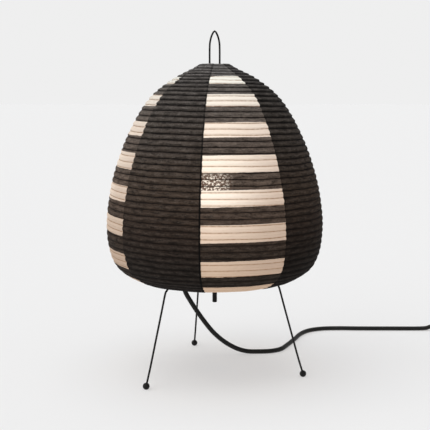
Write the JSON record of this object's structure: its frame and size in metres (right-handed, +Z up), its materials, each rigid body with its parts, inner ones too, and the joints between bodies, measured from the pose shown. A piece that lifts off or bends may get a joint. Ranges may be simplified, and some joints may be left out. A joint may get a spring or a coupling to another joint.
{
  "type": "paper lantern table lamp",
  "caption": "Round pleated paper lantern with black and striped gores on a three-legged wire stand, with a wire loop on top, bulb, lead, inline switch and plug.",
  "frame": {"origin": "on the lamp's upright axis, on the plane that its three feet stand on", "axes": "+Z up along the lamp's axis, -Y towards the front, where a striped gore faces a little to the right, +X to the right, the side that the lead leaves by"},
  "size_m": [0.5941, 0.326, 0.4119],
  "materials": {
    "striped_paper": "handmade paper with pale and black bands, matt, lit from inside",
    "black_paper": "black handmade paper with grey fibres, matt",
    "black_wire": "black painted steel wire, satin",
    "rib_wire": "thin stiff rib, matt",
    "holder_plastic": "black moulded plastic, matt",
    "ceramic": "off-white glazed ceramic",
    "contact_brass": "brass",
    "opal_glass": "opal glass, lit warm white",
    "cap_metal": "nickel-plated",
    "cap_insulator": "black vitrite",
    "cord_rubber": "black flexible sheath, satin",
    "tie_band": "black woven band",
    "switch_plastic": "black moulded plastic, satin",
    "screw_steel": "zinc-plated steel"
  },
  "bodies": {
    "stand": {"striped_gore_1": "striped_paper", "striped_gore_2": "striped_paper", "striped_gore_3": "striped_paper", "striped_gore_4": "striped_paper", "black_gore_1": "black_paper", "black_gore_2": "black_paper", "black_gore_3": "black_paper", "black_gore_4": "black_paper", "helical_rib": "rib_wire", "bottom_ring": "black_wire", "bow": "black_wire", "hub": "black_wire", "centre_stem": "black_wire", "stem_nut": "black_wire", "hub_washer": "black_wire", "leg_front": "black_wire", "leg_right": "black_wire", "leg_back": "black_wire", "foot_front": "black_wire", "foot_right": "black_wire", "foot_back": "black_wire", "holder_cap": "holder_plastic", "holder_skirt": "holder_plastic", "holder_core": "ceramic", "screw_shell": "contact_brass", "centre_contact": "contact_brass", "cord_grip": "cord_rubber", "cord_tube": "cord_rubber", "cord_link": "cord_rubber", "cord_tail": "cord_rubber", "cord_coil": "cord_rubber", "plug_body": "cord_rubber", "coil_tie": "tie_band", "switch_base": "switch_plastic", "switch_cover": "switch_plastic", "switch_screw": "screw_steel", "plug_pin_1": "cap_metal", "plug_pin_2": "cap_metal"},
    "shade_top": {"top_ring": "black_wire", "top_bridge": "black_wire"},
    "bulb_tip": {"bulb_tip": "contact_brass"},
    "bulb": {"bulb_glass": "opal_glass", "bulb_cap": "cap_metal", "bulb_insulator": "cap_insulator", "bulb_filament_mount": "opal_glass"},
    "rocker": {"switch_rocker": "switch_plastic"}
  },
  "joints": [
    {"name": "shade_collapse", "type": "slide", "parent": "stand", "child": "shade_top", "axis": [0, 0, 1], "range_m": [-0.08, 0], "deforming": ["striped_gore_1", "striped_gore_2", "striped_gore_3", "striped_gore_4", "black_gore_1", "black_gore_2", "black_gore_3", "black_gore_4", "helical_rib"]},
    {"name": "bulb_rise", "type": "slide", "parent": "stand", "child": "bulb_tip", "axis": [0, 0, 1], "range_m": [0, 0.0128]},
    {"name": "bulb_turn", "type": "hinge", "parent": "bulb_tip", "child": "bulb", "pos_m": [0, 0, 0.23], "axis": [0, 0, 1], "range_deg": [0, 1260]},
    {"name": "rocker_tilt", "type": "hinge", "parent": "stand", "child": "rocker", "pos_m": [0.352, 0.185, 0.015], "axis": [0, 1, 0], "range_deg": [0, 14]}
  ],
  "couplings": [
    {"joint": "bulb_rise", "follows": "bulb_turn", "m_per_rad": 0.00057757}
  ]
}
